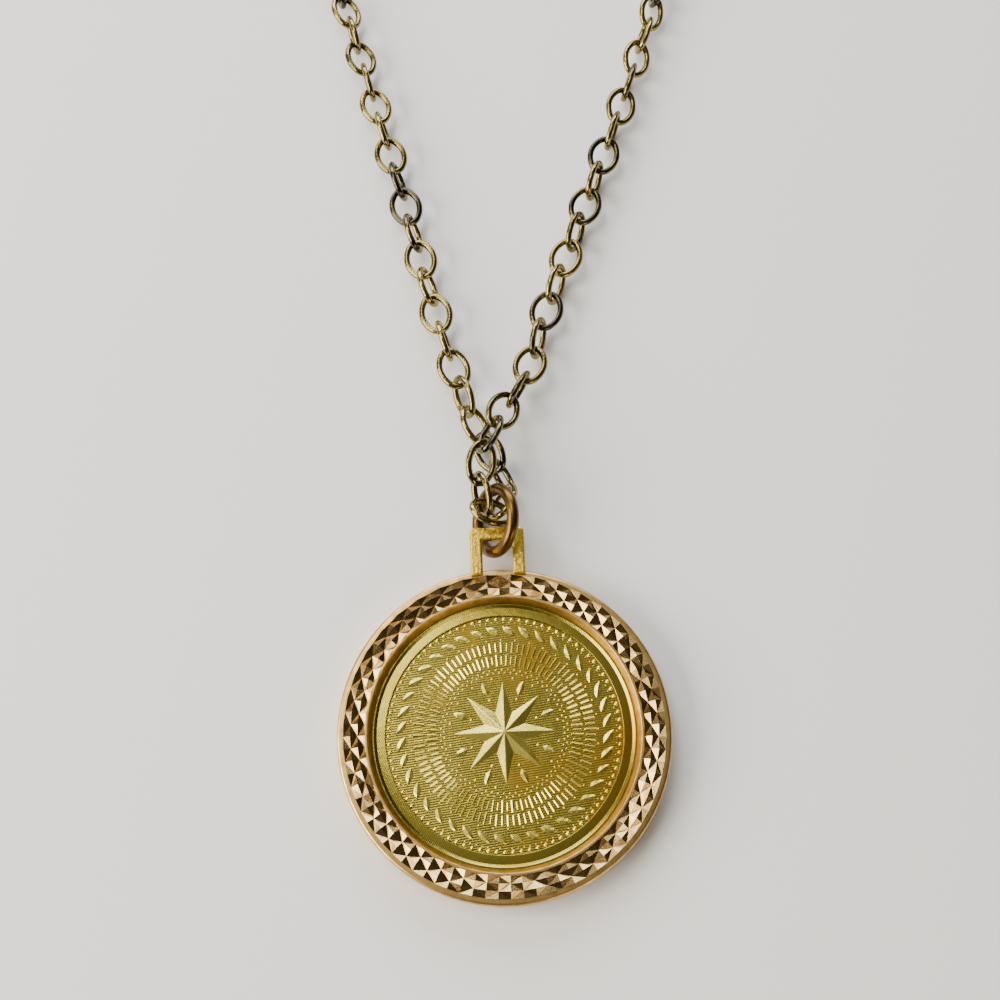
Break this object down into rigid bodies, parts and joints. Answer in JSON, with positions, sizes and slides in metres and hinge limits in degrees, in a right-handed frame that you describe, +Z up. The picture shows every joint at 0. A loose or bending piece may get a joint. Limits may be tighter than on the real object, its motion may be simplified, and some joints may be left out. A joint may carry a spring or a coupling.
{
  "type": "coin pendant on a chain necklace",
  "caption": "Round coin pendant in a diamond-cut bezel with a rectangular bail, hung by a leaning jump ring on an oval-link chain that closes at a plain clasp, lying flat",
  "frame": {"origin": "centre of the bezel's flat back, on the surface that the pendant and its chain lie on", "axes": "+Z up out of the coin's face, +Y from the pendant's centre through the bail towards the chain, +X to the right seen from above"},
  "size_m": [0.0999, 0.256, 0.0061],
  "materials": {
    "bezel_gold": "polished, with bright diamond-cut facets and a satin bail",
    "coin_gold": "bright struck relief on a finely lined field",
    "ring_bronze": "polished, darkened",
    "chain_gold": "polished, partly tarnished"
  },
  "bodies": {
    "root": {"bezel": "bezel_gold", "coin": "coin_gold", "jump_ring": "ring_bronze", "chain_left": "chain_gold", "chain_right": "chain_gold", "clasp": "chain_gold"}
  },
  "joints": []
}
